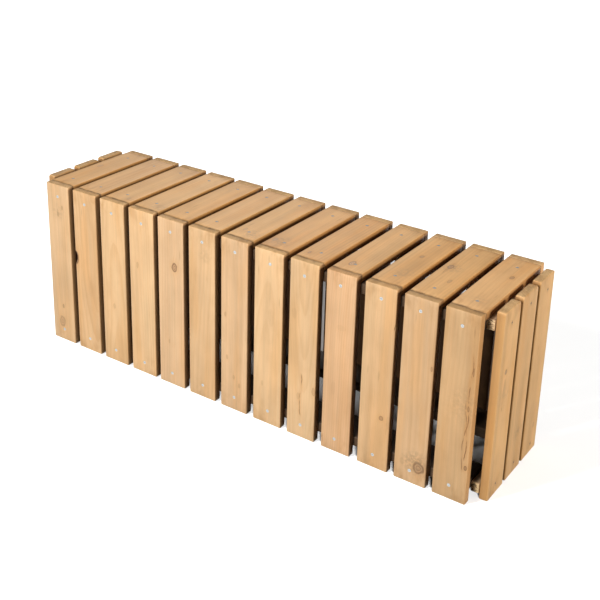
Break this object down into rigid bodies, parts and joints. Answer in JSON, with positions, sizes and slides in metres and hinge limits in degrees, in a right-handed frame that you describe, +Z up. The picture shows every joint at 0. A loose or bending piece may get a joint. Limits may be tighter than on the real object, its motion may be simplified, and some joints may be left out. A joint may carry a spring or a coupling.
{
  "type": "slatted box bench",
  "caption": "Long softwood box bench of upright and seat slats on hidden rails, with slatted ends and an open underside.",
  "frame": {"origin": "on the floor at the middle of the box's length and depth", "axes": "+X along the length towards the right end, +Y towards the back, +Z up"},
  "size_m": [1.305, 0.325, 0.45],
  "materials": {
    "front_boards": "oiled planed softwood, satin",
    "seat_boards": "oiled planed softwood, satin, a little weathered",
    "back_boards": "oiled planed softwood, satin",
    "end_boards": "oiled planed softwood, satin",
    "frame_timber": "planed softwood, matt",
    "screw_zinc": "bright zinc"
  },
  "bodies": {
    "root": {"front_slat_01": "front_boards", "seat_slat_01": "seat_boards", "back_slat_01": "back_boards", "front_slat_02": "front_boards", "seat_slat_02": "seat_boards", "back_slat_02": "back_boards", "front_slat_03": "front_boards", "seat_slat_03": "seat_boards", "back_slat_03": "back_boards", "front_slat_04": "front_boards", "seat_slat_04": "seat_boards", "back_slat_04": "back_boards", "front_slat_05": "front_boards", "seat_slat_05": "seat_boards", "back_slat_05": "back_boards", "front_slat_06": "front_boards", "seat_slat_06": "seat_boards", "back_slat_06": "back_boards", "front_slat_07": "front_boards", "seat_slat_07": "seat_boards", "back_slat_07": "back_boards", "front_slat_08": "front_boards", "seat_slat_08": "seat_boards", "back_slat_08": "back_boards", "front_slat_09": "front_boards", "seat_slat_09": "seat_boards", "back_slat_09": "back_boards", "front_slat_10": "front_boards", "seat_slat_10": "seat_boards", "back_slat_10": "back_boards", "front_slat_11": "front_boards", "seat_slat_11": "seat_boards", "back_slat_11": "back_boards", "front_slat_12": "front_boards", "seat_slat_12": "seat_boards", "back_slat_12": "back_boards", "front_slat_13": "front_boards", "seat_slat_13": "seat_boards", "back_slat_13": "back_boards", "upper_front_rail": "frame_timber", "upper_back_rail": "frame_timber", "lower_front_rail": "frame_timber", "lower_back_rail": "frame_timber", "left_end_upper_batten": "frame_timber", "left_end_lower_batten": "frame_timber", "right_end_upper_batten": "frame_timber", "right_end_lower_batten": "frame_timber", "left_end_slat_front": "end_boards", "left_end_slat_middle": "end_boards", "left_end_slat_back": "end_boards", "right_end_slat_front": "end_boards", "right_end_slat_middle": "end_boards", "right_end_slat_back": "end_boards"}
  },
  "joints": []
}
